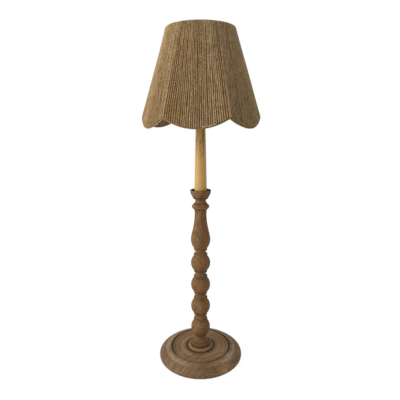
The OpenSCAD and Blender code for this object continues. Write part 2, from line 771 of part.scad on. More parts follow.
// Closed tube of six sides along the hem, drop below the wire's centre
hem_steps = 12;                                   // rings on each scallop
module hem_tube(r, drop) {
    n = panels * hem_steps;
    sides = 6;
    points = [for (i = [0 : n - 1]) let (
                  t = (i % hem_steps) / hem_steps * 2 - 1,
                  a = shade_turn + panel_angle * (floor(i / hem_steps) + (t - 1) / 2 + 0.5),
                  d = strand_dir(t), o = strand_out(t), c = hem_at(t) + d * drop)
              for (k = [0 : sides - 1]) let (
                  w = 360 / sides * (k + 0.5), p = c + r * (o * cos(w) - d * sin(w)))
              around(a, p[0], p[1])];
    faces = [for (i = [0 : n - 1], k = [0 : sides - 1]) let (
                 a = i * sides + k, b = i * sides + (k + 1) % sides,
                 c = ((i + 1) % n) * sides + (k + 1) % sides, e = ((i + 1) % n) * sides + k)
             each [[a, b, c], [a, c, e]]];
    polyhedron(points, faces);
}

module hem_wire() {
    color(steel) hem_tube(frame_wire_r, 0);
}

module hem_trim() {
    color(twine) hem_tube(trim_r, trim_drop);
}

// Angle from the panel's middle at u from -1 to 1 and radius r: leaves room for the ribs
function panel_a(u, r) = u * (panel_angle / 2 - asin(rib_gap / r));

// Loop of eight points round a pair of strands at u, h from the wires' centre
loop_n = 8;
function panel_loop(mid, u, h) = let (
    t = panel_a(u, hem_r) / (panel_angle / 2),
    d = strand_dir(t), o = strand_out(t), top = [ring_r, ring_z], foot = hem_at(t),
    turn = [[1, 0], [0.5, loop_end], [-0.5, loop_end], [-1, 0]])
    [for (k = [3 : -1 : 0]) let (q = top + h * (turn[k][0] * o - turn[k][1] * d))
         around(mid + panel_a(u, ring_r), q[0], q[1]),
     for (k = [0 : 3]) let (q = foot + h * (turn[k][0] * o + turn[k][1] * d))
         around(mid + panel_a(u, hem_r), q[0], q[1])];

function strip_faces(columns, first, flip) =
    [for (i = [0 : columns - 2], k = [0 : loop_n - 1]) let (
         a = first + i * loop_n + k, b = first + i * loop_n + (k + 1) % loop_n,
         c = first + (i + 1) * loop_n + (k + 1) % loop_n, e = first + (i + 1) * loop_n + k)
     each flip ? [[a, c, b], [a, e, c]] : [[a, b, c], [a, c, e]]];

// Twine wound over the ring and under the hem wire: a flat tube with a flute at each strand
module twine_panel(i) {
    turns = 2 * strands + 1;
    inner = hem_steps + 1;
    skin = frame_wire_r + 0.8;                    // half the space between the two layers
    mid = shade_turn + panel_angle * i;
    points = concat(
        [for (j = [0 : turns - 1]) each
             panel_loop(mid, j / (turns - 1) * 2 - 1, j % 2 == 0 ? half_t - groove_d : half_t)],
        [for (j = [0 : inner - 1]) each panel_loop(mid, j / (inner - 1) * 2 - 1, skin)]);
    m = turns * loop_n;
    last = (turns - 1) * loop_n;
    inner_last = m + (inner - 1) * loop_n;
    caps = [for (k = [0 : loop_n - 1]) let (n = (k + 1) % loop_n) each
            [[k, m + k, m + n], [k, m + n, n],
             [last + k, inner_last + n, inner_last + k], [last + k, last + n, inner_last + n]]];
    color(twine) polyhedron(points, concat(strip_faces(turns, 0, false),
                                           strip_faces(inner, m, true), caps));
}

// ---------- the lamp ----------

foot_felt();
bottom_cover();
cover_screws();
ballast_plate();
ballast_screws();
base_disc();
inlet_bush();
terminal_block();
inner_lead();
lower_washer();
lower_nut();
stem_pipe();
column_foot();
for (i = [0 : bobbins - 1])
    bobbin(i);
vase_turning();
drip_cup();
candle_sleeve();
candle_cap();
top_nut();
harp_saddle();
harp();
ferrule(-1);  // ferrule_left
ferrule(1);  // ferrule_right
socket_cap();
socket_shell();
socket_liner();
socket_core();
screw_shell();
centre_contact();
switch_knob();
bulb_glass();
bulb_cap();
bulb_insulator();
bulb_mount();
finial();
spider();
top_ring();
rib_wires();
hem_wire();
hem_trim();
for (i = [0 : panels - 1])
    twine_panel(i);
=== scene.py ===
"""Looks of the candlestick floor lamp: wound twine shade, waxed candle, weathered wood, brass."""
import json
import math
import random
from types import SimpleNamespace

import bpy
import numpy as np
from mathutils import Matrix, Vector, noise


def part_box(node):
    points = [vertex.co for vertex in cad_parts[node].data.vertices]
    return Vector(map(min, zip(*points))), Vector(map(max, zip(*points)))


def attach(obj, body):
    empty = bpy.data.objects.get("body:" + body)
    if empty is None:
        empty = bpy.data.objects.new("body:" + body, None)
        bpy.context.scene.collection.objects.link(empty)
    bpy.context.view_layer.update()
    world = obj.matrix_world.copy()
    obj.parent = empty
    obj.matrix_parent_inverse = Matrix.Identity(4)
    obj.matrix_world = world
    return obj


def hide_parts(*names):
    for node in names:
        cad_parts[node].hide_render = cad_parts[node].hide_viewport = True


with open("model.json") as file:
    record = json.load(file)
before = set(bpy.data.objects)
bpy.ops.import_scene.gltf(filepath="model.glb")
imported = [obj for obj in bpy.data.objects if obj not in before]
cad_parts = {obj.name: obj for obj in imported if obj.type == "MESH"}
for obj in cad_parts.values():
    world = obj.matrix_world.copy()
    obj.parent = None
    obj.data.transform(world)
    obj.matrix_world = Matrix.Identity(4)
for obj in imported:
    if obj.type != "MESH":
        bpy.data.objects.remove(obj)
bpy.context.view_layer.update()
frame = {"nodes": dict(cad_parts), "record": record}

# ---------- shade: sizes in metres, angles in degrees ----------

WIRE_R = 0.0015                    # wires of the shade's frame
PANELS = 6
PANEL_ANGLE = 360 / PANELS
SHADE_TURN = -4.0                  # middle of the front panel against the front
HEM_R = 0.2432                     # hem wire at a rib
SCALLOP_R = 0.2294                 # hem wire in the middle of a scallop
RIB_DROP = 0.3490                  # from the top ring to the hem wire at a rib
SCALLOP_DROP = 0.0378              # from there to the lowest point of a scallop
SCALLOP_POWER = 2.1                # 2 is a parabola, more is squarer
PANEL_SHADING = (-0.1, 0.85, 0.3, 0.6, 0.7, -0.4)    # paler or darker twine, panel by panel: mostly painted light and shade

STRANDS = 31                       # outer strands of a panel
PITCH = 2 / STRANDS                # between two of them, where a panel is 2 wide
SPREAD = 1 / (1 - PITCH / 2)       # moves the outermost ones out to the ribs
RIB_GAP = 0.0019                   # from a rib's centre line to the nearest strand's
WIND_R = 0.0035                    # from a wire's centre to the centre of the twine round it
TWINE_D = 0.0038
TWINE_WIDE = 1.28                  # a strand's width against its thickness
TWINE_PLIES = 2
TWINE_TURN = 0.015                 # length of one full turn of the plies
TWINE_SIDES = 8
OUTER_STEPS = 40                   # points down an outer strand
INNER_STEPS = 12
BEND_STEPS = 6
TOP_STRAY = 0.11                   # how far a strand's ends are off their places, in pitches
FOOT_STRAY = 0.10
# sway of an outer strand: how fast it changes from strand to strand, down the strand and from
# panel to panel, and its size
SWAYS = ((0.45, 2.6, 7.1, 0.0030), (2.9, 4.5, 3.3, 0.0014), (4.3, 12, 5.9, 0.0011))
SWELL = 0.0007                     # how far a strand stands out of or sinks into its layer
INNER_SWAY = 0.0010

MAT_OUT = 0.0026                   # mat of painted shade between the layers, outside the wires' centres
MAT_HALF = 0.0002                  # half its thickness
MAT_WAVE = 0.0004
MAT_REACH = 0.85                   # share of the way from the hem wire to the trim cord
MAT_ACROSS, MAT_DOWN = 40, 26

TRIM_R = 0.0023
TRIM_LAID_R = TRIM_R * 0.93        # mean radius, which its plies stand proud of
TRIM_DROP = 0.0073                 # trim cord's centre below the hem wire's in the CAD
TRIM_LIFT = 0.001                  # pulled up against the twine
TRIM_PLIES = 3
TRIM_PLY_DEPTH = 0.13              # as a share of its radius
TRIM_TURN = 0.0052
TRIM_SIDES = 12
TRIM_STEPS = 160                   # points in a panel's width

SPECKS = 12                        # of dried glue, along the front panel
SPECKS_FROM = 0.20                 # where they begin, from -1 to 1 across it
SPECKS_SPAN = 0.36
SPECK_OUT = 0.0052                 # outside the hem wire's centre
BLOB_RINGS, BLOB_STEPS = 5, 8

RING_LOW, RING_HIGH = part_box("top_ring")
RING_R = RING_HIGH.x - WIRE_R
RING_Z = (RING_LOW.z + RING_HIGH.z) / 2
RING = np.array((RING_R, RING_Z))

# ---------- column and candle: heights from the frame ----------

BOSS_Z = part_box("column_foot")[0].z
BOBBIN_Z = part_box("bobbin_1")[0].z
BOBBIN_H = 0.1
VASE_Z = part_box("vase_turning")[0].z
CUP_LOW, CUP_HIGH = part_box("drip_cup")
CANDLE_LOW, CANDLE_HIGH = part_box("candle_sleeve")
COLLAR_Z = VASE_Z + 0.1935         # sharp edge of the collar

# painted shade in creases and joints, with grime: height, spread and strength
SHADED_SEAMS = (
    (VASE_Z + 0.0078, 0.0016, 1.0),        # over the vase's foot bead
    (BOSS_Z + 0.0174, 0.0016, 1.0),        # over the column foot's bead
    (VASE_Z + 0.1860, 0.0030, 0.9),        # under the collar
    (CUP_LOW.z + 0.0058, 0.0024, 1.2),     # over the cup's foot
    (BOSS_Z, 0.0034, 1.0),                 # where the column stands on the boss
    (VASE_Z + 0.2095, 0.0026, 1.1))        # at the neck over the collar
# the same on each bobbin, as shares of its height: over the foot bead, under and over the fillet
BOBBIN_SHADED_SEAMS = ((0.075, 0.022, 1.0), (0.745, 0.020, 0.4), (0.840, 0.016, 0.5))

# fades that bound the inside of the drip cup
BOWL_FLOOR = (CUP_LOW.z + 0.0166, CUP_LOW.z + 0.0172)
BOWL_TOP = (CUP_HIGH.z - 0.0006, CUP_HIGH.z - 0.0022)
BOWL_R = (0.0391, 0.0384)          # at BOWL_R_HIGH above the cup's foot
BOWL_R_HIGH = 0.0185
BOWL_FLARE = 0.25                  # how much wider it gets for each metre up

# marks down the candle: place across it and spread
PALE_RUN = (-0.0085, 0.0028)
DARK_RUN = (0.0100, 0.0026)
FLECKS_LEFT = (-0.0165, 0.0032)
FLECKS_MIDDLE = (-0.0015, 0.0030)
FLECKS_RIGHT = (0.0100, 0.0035)

# ---------- base: radii, and patches as centre and spread ----------

CREST_R = 0.1485                   # top of the outer band
STEEP_R = (0.153, 0.160)           # where the band begins to fall and is steep
GROOVE_R = 0.1266                  # V groove
BEAD_R = GROOVE_R - 0.0056         # pale inner side of the raised bead beside it, from wear with a painted highlight
FIELD_OUT = (0.118, 0.113)         # fades at the field's outer and inner edges
FIELD_IN = (0.052, 0.059)
BOSS_R = 0.057
# rings left by turning, grooves with painted shade, a painted shadow round the column's foot, and rings
# pale from wear with a painted highlight: radius, spread and strength
DULL_RINGS = ((0.064, 0.010, 1.3), (0.097, 0.004, 0.5))
PALE_RINGS = ((0.083, 0.006, 1.0), (0.1088, 0.0019, 1.0))
NARROW_GROOVES = ((GROOVE_R + 0.0008, 0.0036, 1.0), (0.1130, 0.0016, 0.5))
BOSS_GROOVE_AND_FOOT_SHADOW = ((BOSS_R + 0.0014, 0.0034, 1.0), (0.0395, 0.0034, 1.1))
WEAR_AND_HIGHLIGHT_RINGS = ((BEAD_R, 0.0019, 1.0), (BOSS_R - 0.005, 0.0022, 0.45))

GREY_PATCH = ((0.122, -0.080), (0.014, 0.026))
BROWN_PATCH = ((0.050, -0.154), (0.040, 0.016))
ORANGE_PATCH = ((0.110, -0.142), (0.022, 0.018))
SCRATCHED = ((-0.095, -0.11), (0.06, 0.06))
KNOT = (-0.008, -0.083)
KNOT_SQUEEZE = 0.55                # makes its rings longer across than front to back
KNOT_R = 0.020
SPLIT = (-0.104, -0.093)           # a point on the split
SPLIT_NORMAL = (0.742, -0.670)     # and the direction square to it
SPLIT_WIDE = 0.0018

# how fine each mark of the grain is, across and along it
GRAIN = {"swirl": (14, 3.5), "drift": (60, 7), "fibre": (620, 26), "pore": (1500, 75), "patch": (22, 11)}

# ---------- photograph and light ----------

PICTURE = 400                      # pixels across the photograph
FOCAL = 375.96                     # focal length in its pixels
CENTRE_X, CENTRE_Y = 200.6, 173.2  # optical centre in its pixels
CAMERA_AT = (0, -1.5873, 1.0516)
CAMERA_DOWN = 8.038                # degrees below level
SENSOR = 36                        # millimetres
AIM_Z = 0.8                        # height that the lamps point at
WORLD_LEVEL = 0.32
FLOOR_HALF = 6.0
FLOOR_Z = -0.0004
FLOOR_FADE = (0.7, 2.4)            # distances between which the floor's shadow fades away

# ---------- shader kit ----------


def srgb(r, g, b):
    """Colour written as 0 to 255 on a screen, as linear light."""
    shares = [((c / 255 + 0.055) / 1.055) ** 2.4 if c > 10 else c / 3294 for c in (r, g, b)]
    return tuple(shares) + (1.0,)


def operator(operation, reflected=False):
    """Method of Val that adds a Math node."""
    def method(self, other):
        pair = (other, self) if reflected else (self, other)
        return self.finish.node("Math", {0: pair[0], 1: pair[1]}, operation=operation)
    return method


class Val:
    """A socket that can be written in sums."""

    def __init__(self, finish, socket):
        self.finish, self.socket = finish, socket

    __add__, __radd__ = operator("ADD"), operator("ADD", True)
    __sub__, __rsub__ = operator("SUBTRACT"), operator("SUBTRACT", True)
    __mul__, __rmul__ = operator("MULTIPLY"), operator("MULTIPLY", True)
    __truediv__, __rtruediv__ = operator("DIVIDE"), operator("DIVIDE", True)
    __pow__, __rpow__ = operator("POWER"), operator("POWER", True)

    def math(self, operation, *others):
        inputs = {i: v for i, v in enumerate((self,) + others)}
        return self.finish.node("Math", inputs, operation=operation)

    def clamp(self):
        return self.finish.node("Clamp", {"Value": self})

    def step(self, low, high):
        """0 below low, 1 above high and a smooth rise between; low above high gives a fall."""
        flip = low > high
        a, b = (high, low) if flip else (low, high)
        rise = self.finish.node("MapRange", {"Value": self, "From Min": a, "From Max": b},
                                interpolation_type="SMOOTHSTEP")
        return 1 - rise if flip else rise

    def bump(self, centre, width):
        """1 at centre, falling away smoothly within about a width."""
        off = (self - centre) / width
        return (off * off * -1).math("EXPONENT")

    def marks(self, table):
        """Sum of bumps, each row of the table giving a centre, a width and a strength."""
        return sum(self.bump(centre, width) * strength for centre, width, strength in table)


class Finish:
    """One material and the nodes that make it."""

    def __init__(self, name, **constants):
        self.material = bpy.data.materials.new(name)
        self.material.use_nodes = True
        self.tree = self.material.node_tree
        self.surface = self.tree.nodes["Principled BSDF"]
        for key, value in constants.items():
            self.surface.inputs[key.replace("_", " ")].default_value = value

    def node(self, kind, inputs=(), out=0, **settings):
        made = self.tree.nodes.new("ShaderNode" + kind)
        for key, value in settings.items():
            setattr(made, key, value)
        for key, value in dict(inputs).items():
            if isinstance(value, Val):
                self.tree.links.new(value.socket, made.inputs[key])
            else:
                made.inputs[key].default_value = value
        return Val(self, made.outputs[out])

    def place(self):
        return self.node("TexCoord", out="Object")

    def split(self, vector):
        first = self.node("SeparateXYZ", {0: vector})
        return [Val(self, s) for s in first.socket.node.outputs]

    def join(self, x, y, z):
        return self.node("CombineXYZ", {0: x, 1: y, 2: z})

    def noise(self, vector, scale=1.0, detail=3.0, rough=0.5):
        return self.node("TexNoise", {"Vector": vector, "Scale": scale, "Detail": detail,
                                      "Roughness": rough})

    def mix(self, a, b, factor):
        return self.node("Mix", {0: factor, 6: a, 7: b}, out=2, data_type="RGBA")

    def tint(self, colour, screen, share):
        """Share of a screen colour, given as 0 to 255, over a colour."""
        return self.mix(colour, srgb(*screen), share)

    def feed(self, **sockets):
        for key, value in sockets.items():
            self.tree.links.new(value.socket, self.surface.inputs[key.replace("_", " ")])
        return self.material

    def relief(self, height, depth):
        """Bump of that depth in metres."""
        return self.node("Bump", {"Height": height, "Distance": depth})


# ---------- wood ----------

COLUMN_TONES = {
    "light": srgb(152, 111, 66), "mid": srgb(123, 87, 49), "dark": srgb(78, 56, 31),
    "wash": srgb(146, 114, 75), "pore": srgb(60, 43, 26)}
BASE_TONES = {
    "light": srgb(156, 121, 85), "mid": srgb(126, 93, 62), "dark": srgb(84, 58, 36),
    "wash": srgb(164, 138, 108), "pore": srgb(62, 44, 30)}


def timber(f, across, side, along, ring_at, ring_w, streaks):
    """Weathered grain: growth rings about a line at ring_at, fibres and pores along the stem.
    Returns shares of late wood, fibre, pore, patch and streak."""
    def figure(mark, **settings):
        fine, long = GRAIN[mark]
        return f.noise(f.join(across * fine, side * fine, along * long), **settings)
    swirl = figure("swirl", detail=2)
    drift = figure("drift", detail=2)
    off_a = across - ring_at[0]
    off_s = side - ring_at[1]
    radius = (off_a * off_a + off_s * off_s).math("SQRT") + (swirl - 0.5) * 0.034 + drift * 0.004
    turn = (radius / ring_w).math("FRACT")
    late = turn.step(0.1, 0.8) * turn.step(1.0, 0.86)
    fibre = figure("fibre", detail=4, rough=0.6)
    pore = figure("pore", detail=1).step(0.66, 0.74)
    patch = figure("patch", detail=3, rough=0.6)
    lean = across - along * 0.3
    streak_at = f.join(lean * streaks + swirl * 4, side * streaks, along * 9)
    return late, fibre, pore, patch, f.noise(streak_at, detail=2, rough=0.55)


def timber_colour(f, parts, tones):
    """Colour from the shares of timber() and the wood's tones."""
    late, fibre, pore, patch, streak = parts
    colour = f.mix(tones["light"], tones["mid"], (late * 0.42 + fibre * 0.7).clamp())
    colour = f.mix(colour, tones["dark"], (late * fibre * patch).clamp())
    dark = streak.step(0.52, 0.32) * 0.5 + patch.step(0.5, 0.3) * 0.35
    colour = f.mix(colour, tones["dark"], dark.clamp())
    wash = patch.step(0.5, 0.7) * 0.4 + fibre.step(0.5, 0.8) * 0.2 + streak.step(0.52, 0.72) * 0.5
    colour = f.mix(colour, tones["wash"], wash.clamp())
    return f.mix(colour, tones["pore"], pore * 0.45)


def stain_column(f, column, colour):
    """Old stain: orange and olive places, a smoked one on the vase and a bleached one below."""
    front = column.y.step(0.004, -0.012)
    stain = f.noise(f.join(column.x * 26, column.y * 26, column.z * 17 + 7), detail=2)
    belly = column.level.bump(0.34, 0.15) * column.x.bump(-0.008, 0.014) * front * column.on_bobbins
    smoked = column.z.bump(VASE_Z + 0.075, 0.06) * column.x.bump(0.006, 0.014) * front
    bleached = column.z.bump(BOBBIN_Z + 0.145, 0.034) * column.x.bump(0, 0.014) * front
    colour = f.tint(colour, (146, 96, 58), stain.step(0.50, 0.66) * 0.3)
    colour = f.tint(colour, (152, 98, 62), belly * stain.step(0.3, 0.5) * 0.35)
    colour = f.tint(colour, (98, 82, 52), stain.step(0.48, 0.32) * 0.35)
    colour = f.tint(colour, (80, 56, 36), smoked * 0.28)
    return f.tint(colour, (160, 116, 80), bleached * 0.5)


def cup_bowl(column):
    """1 inside the bowl of the drip cup."""
    wall = column.radius - (column.z - CUP_LOW.z - BOWL_R_HIGH) * BOWL_FLARE
    return column.z.step(*BOWL_FLOOR) * wall.step(*BOWL_R) * column.z.step(*BOWL_TOP)


def turned_wood():
    """Column, vase and drip cup: painted shade and grime in creases and inside the cup, pale from wear
    with a painted highlight on edges.
    """
    f = Finish("turned_wood", Specular_IOR_Level=0.3)
    place = f.place()
    x, y, z = f.split(place)
    level = ((z - BOBBIN_Z) / BOBBIN_H).math("FRACT")
    on_bobbins = z.step(BOBBIN_Z - 0.002, BOBBIN_Z) * z.step(VASE_Z + 0.003, VASE_Z)
    radius = (x * x + y * y).math("SQRT")
    column = SimpleNamespace(
        x=x, y=y, z=z, radius=radius, level=level, on_bobbins=on_bobbins)
    parts = timber(f, x, y, z, ring_at=(0.035, 0.05), ring_w=0.0080, streaks=58)
    colour = stain_column(f, column, timber_colour(f, parts, COLUMN_TONES))
    soil = f.noise(place, 130, 3)
    # creases and joints darker: painted shade, with grime
    shaded_seams = level.marks(BOBBIN_SHADED_SEAMS) * on_bobbins + z.marks(SHADED_SEAMS)
    dirt_and_shade = (shaded_seams * (0.35 + soil)).clamp()
    colour = f.tint(colour, (58, 42, 30), dirt_and_shade * 0.8)
    colour = f.tint(colour, (94, 67, 42), z.step(BOSS_Z + 0.040, BOSS_Z + 0.026) * 0.4)
    bowl = cup_bowl(column)
    # inside of the drip cup painted dark: painted shade in the hollow, with grime
    colour = f.tint(colour, (46, 36, 28), bowl * 0.9)
    # collar's edge and cup's rim paler: wear, with a painted highlight
    wear_and_highlight = z.bump(COLLAR_Z, 0.0022) + z.bump(CUP_HIGH.z - 0.001, 0.0016)
    colour = f.tint(colour, (158, 124, 90), (wear_and_highlight * soil * 1.1).clamp() * (1 - bowl))
    late, fibre, pore, patch, streak = parts
    height = fibre * 0.5 + late * 0.3 + streak * 0.3 - pore * 0.8
    return f.feed(Base_Color=colour, Roughness=0.62 + patch * 0.25 + dirt_and_shade * 0.1,
                  Normal=f.relief(height, 0.0006))


def blotch(base, mark):
    """1 at the centre of a patch of the base, falling away by its spread."""
    (x, y), (wide, deep) = mark
    return base.x.bump(x, wide) * base.y.bump(y, deep)


def colour_band(f, base, colour):
    """Outer band: warm inner slope, pale patchy crest with painted sheen, steep part painted darker as
    shade, three odd patches.
    """
    # steep part darker and greyer, most at the left: painted shade where the band falls away
    steep = base.radius.step(*STEEP_R) * (0.3 + base.left * 0.25 - base.front * 0.2).clamp()
    colour = f.tint(colour, (112, 88, 66), steep)
    warm = base.front * base.x.bump(0.012, 0.05) * base.radius.step(0.128, 0.140)
    colour = f.tint(colour, (96, 68, 42), warm * 0.35)
    # pale crest, most at the sides: painted sheen, with dust
    crest = base.radius.bump(CREST_R, 0.0062) * (0.25 + base.left + base.right - base.front * 0.3).clamp()
    crest = crest * (0.3 + base.fibre * 0.6) * (0.4 + base.patch.step(0.36, 0.56) * 0.8)
    colour = f.tint(colour, (186, 160, 132), crest)
    grey = blotch(base, GREY_PATCH) * base.radius.bump(CREST_R - 0.0005, 0.012)
    colour = f.tint(colour, (164, 147, 130), grey * (0.5 + base.fibre * 0.6))
    brown = blotch(base, BROWN_PATCH) * f.noise(base.place, 48, 3).step(0.44, 0.58)
    colour = f.tint(colour, (98, 66, 40), brown * 0.9)
    orange = blotch(base, ORANGE_PATCH) * f.noise(base.place, 55, 2).step(0.36, 0.54)
    return f.tint(colour, (184, 132, 84), orange * 0.9)


def scratch_base(f, base, colour):
    """Pale scratches, dark gouges and one split, most of them at the front left. Returns the
    colour, the scratches and the split."""
    worst = blotch(base, SCRATCHED)
    scratch = f.noise(f.join(base.across * 210, base.z * 30, base.along * 9), detail=2).step(0.54, 0.66)
    colour = f.tint(colour, (200, 166, 134), scratch * (0.08 + worst * 0.55))
    gouge = f.noise(f.join(base.across * 170 + 9, base.z * 30, base.along * 8), detail=2).step(0.56, 0.66)
    colour = f.tint(colour, (80, 56, 37), gouge * (0.12 + worst * 0.6))
    beside = (base.x - SPLIT[0]) * SPLIT_NORMAL[0] + (base.y - SPLIT[1]) * SPLIT_NORMAL[1]
    beside = beside + (base.soil - 0.5) * 0.006
    split = beside.bump(0, SPLIT_WIDE) * base.radius.step(0.129, 0.134)
    split = split * base.x.step(-0.06, -0.09) * base.y.step(-0.06, -0.08)
    colour = f.tint(colour, (58, 39, 25), split * base.radius.step(0.185, 0.150) * 0.85)
    return colour, scratch, split


def colour_field(f, base, colour):
    """Field: paler, with dull and rubbed rings left by turning, and a small knot."""
    field = base.radius.step(*FIELD_OUT) * base.radius.step(*FIELD_IN)
    colour = f.tint(colour, (150, 119, 82), field * (0.3 + base.right * 0.5))
    front_field = field * base.y.step(-0.045, -0.065)
    bend = base.y - base.x * (1.07 - base.x * 4)
    line = f.noise(f.join((base.x + base.y) * 9, bend * 64 + base.swirl * 2, 6.0), detail=3, rough=0.55)
    colour = f.tint(colour, (88, 58, 34), line.step(0.53, 0.62) * front_field * 0.75)
    colour = f.tint(colour, (172, 132, 90), line.step(0.47, 0.40) * front_field * 0.5)
    dull = base.radius.marks(DULL_RINGS) * field * (0.2 + base.soil * 0.6) * (1 - base.right * 0.8)
    colour = f.tint(colour, (90, 66, 44), dull.clamp())
    pale = (base.radius.marks(PALE_RINGS) * (0.15 + base.soil * 0.6)).clamp()
    colour = f.tint(colour, (176, 144, 106), pale * field)
    ripple = f.noise(f.join(base.x * 40, base.y * 90, base.z), detail=2)
    eye = (base.knot * 420 + ripple * 16).math("SINE") * 0.5 + 0.5
    colour = f.tint(colour, (92, 60, 34), (base.pull * eye * field).clamp() * 0.75)
    return f.tint(colour, (172, 134, 90), (base.pull * (1 - eye) * field).clamp() * 0.35)


def colour_rings(f, base, colour):
    """Grooves darkened by painted shade and grime, less at the front, a painted shadow round the column's
    foot, the boss painted darker as shade, the bead pale from wear with a painted highlight, and darker
    towards the bottom edge.
    """
    # grooves darker: painted shade in the hollows, with grime; the wide band at the back is painted shade
    wide_groove_shade = base.radius.bump(GROOVE_R + 0.0012, 0.0070) * base.y.step(-0.09, -0.03) * 0.45
    grooves = base.radius.marks(NARROW_GROOVES) + wide_groove_shade + base.radius.marks(BOSS_GROOVE_AND_FOOT_SHADOW)
    less_at_front = 1 - base.y.step(-0.02, -0.11) * 0.45
    colour = f.tint(colour, (46, 30, 17), (grooves * (0.75 + base.soil * 0.5) * less_at_front).clamp() * 0.92)
    # top of the boss painted darker: painted shade under the column
    colour = f.tint(colour, (104, 74, 46), base.radius.step(0.055, 0.048) * (0.25 + base.soil * 0.4))
    # inner side of the bead and edge of the boss paler: wear, with a painted highlight
    wear_and_highlight = base.radius.marks(WEAR_AND_HIGHLIGHT_RINGS) * (0.6 + base.soil * 0.7)
    colour = f.tint(colour, (182, 148, 108), wear_and_highlight.clamp() * 0.85)
    # darker towards the bottom edge
    return f.tint(colour, (80, 58, 40), base.z.step(0.008, 0.003) * 0.5)


def base_wood():
    """Base disc: a board with a curved figure, weathered and worn in known places."""
    f = Finish("base_wood", Specular_IOR_Level=0.3)
    place = f.place()
    x, y, z = f.split(place)
    # the board's figure runs in a long curve, steep at the left and level at the right
    across = y - x * (0.36 - x * (2.75 - x * 8.3))
    along = x * 1.2 + y * 0.4
    knot_x = (x - KNOT[0]) * KNOT_SQUEEZE
    knot_y = y - KNOT[1]
    knot = (knot_x * knot_x + knot_y * knot_y).math("SQRT")
    pull = knot.bump(0, KNOT_R)
    grain_at = across + pull * 0.012
    parts = timber(f, grain_at, z * 0.6, along, ring_at=(0.02, -0.05), ring_w=0.0064, streaks=100)
    late, fibre, pore, patch, streak = parts
    base = SimpleNamespace(
        place=place, x=x, y=y, z=z, radius=(x * x + y * y).math("SQRT"), across=across,
        along=along, knot=knot, pull=pull, swirl=f.noise(place, 30, 2), soil=f.noise(place, 70, 3),
        fibre=fibre, patch=patch, left=x.step(-0.02, -0.12), right=x.step(0.02, 0.12),
        front=y.step(-0.05, -0.12))
    colour = colour_band(f, base, timber_colour(f, parts, BASE_TONES))
    colour, scratch, split = scratch_base(f, base, colour)
    colour = colour_rings(f, base, colour_field(f, base, colour))
    height = fibre * 0.5 + late * 0.25 + streak * 0.5 - pore * 0.8 - scratch * 0.6 - split * 2
    return f.feed(Base_Color=colour, Roughness=0.6 + patch * 0.25,
                  Normal=f.relief(height, 0.0006))


# ---------- candle and twine ----------

TWINE_TONES = {"light": srgb(210, 180, 136), "mid": srgb(170, 139, 94), "dark": srgb(107, 78, 45)}
TRIM_TONES = {"light": srgb(208, 181, 140), "mid": srgb(184, 154, 112), "dark": srgb(126, 99, 68)}


def candle_wax():
    """Aged wax, browner in its upper half, with runs and rows of reddish flecks."""
    f = Finish("candle_wax", Specular_IOR_Level=0.45)
    x, y, z = f.split(f.place())
    height = (z - CANDLE_LOW.z) / (CANDLE_HIGH.z - CANDLE_LOW.z)
    cloud = f.noise(f.join(x * 40, y * 40, z * 9), detail=3)
    streak = f.noise(f.join(x * 210, y * 210, z * 7), detail=3, rough=0.6)
    colour = f.mix(srgb(219, 177, 104), srgb(208, 163, 90), cloud)
    colour = f.tint(colour, (226, 186, 120), streak.step(0.5, 0.75) * 0.35)
    # right side of the lower half painted darker: painted shade on the side away from the light
    colour = f.tint(colour, (190, 144, 78), x.step(0.004, 0.020) * height.step(0.55, 0.40) * 0.35)
    aged = (height + cloud * 0.24 - 0.12).step(0.44, 0.60)
    colour = f.tint(colour, (214, 172, 99), aged * 0.85)
    colour = f.tint(colour, (150, 108, 56), aged * streak.step(0.5, 0.64) * 0.75)
    high = height.step(0.50, 0.62)
    colour = f.tint(colour, (190, 160, 112), x.bump(*PALE_RUN) * high * 0.6)
    colour = f.tint(colour, (134, 96, 48), x.bump(*DARK_RUN) * height.step(0.44, 0.6) * 0.6)
    rows = x.bump(*FLECKS_LEFT) * high + x.bump(*FLECKS_RIGHT)
    rows = rows + x.bump(*FLECKS_MIDDLE) * height.step(0.8, 0.62)
    flecks = f.noise(f.join(x * 190, y * 190, z * 60), detail=2).step(0.50, 0.60)
    flecks = flecks * height.step(0.41, 0.50) * (0.08 + rows * 1.3)
    colour = f.tint(colour, (126, 74, 38), flecks.clamp() * 0.85)
    # candle's foot at the cup's rim painted dark: painted shadow of the rim, with grime
    cup_shade = z.step(CUP_HIGH.z + 0.0012, CUP_HIGH.z - 0.0020)
    colour = f.tint(colour, (66, 48, 27), cup_shade * 0.85)
    return f.feed(Base_Color=colour, Roughness=0.42 + aged * 0.22 + cloud * 0.1,
                  Normal=f.relief(cloud * 0.7 + streak * aged, 0.0008))


